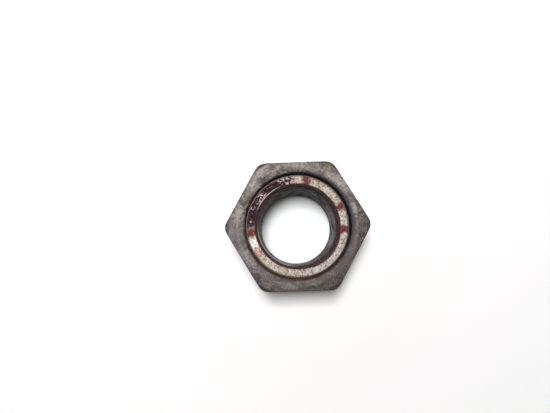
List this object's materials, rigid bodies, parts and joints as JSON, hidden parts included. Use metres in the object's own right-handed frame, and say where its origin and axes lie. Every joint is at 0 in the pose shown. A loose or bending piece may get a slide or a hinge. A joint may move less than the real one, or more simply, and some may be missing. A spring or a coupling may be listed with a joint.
{
  "type": "hex nut",
  "caption": "All-metal locking hex nut: a black-oxide steel body with a bright locking ring pressed into a turned seat in its upper end, both tapped with the same thread.",
  "frame": {"origin": "centre of the lower bearing face, on the thread axis", "axes": "+Z along the thread axis towards the end that holds the locking ring; flats face +Y and -Y, corners lie on +X and -X"},
  "size_m": [0.0338, 0.03, 0.0187],
  "materials": {
    "black_oxide_steel": "matt black oxide on forged steel, scuffed grey-brown and lightly rusted",
    "bright_ring_steel": "bright turned steel, stained red-brown by dried thread-locker and rust"
  },
  "bodies": {
    "root": {"hex_body": "black_oxide_steel", "lock_ring": "bright_ring_steel"}
  },
  "joints": []
}
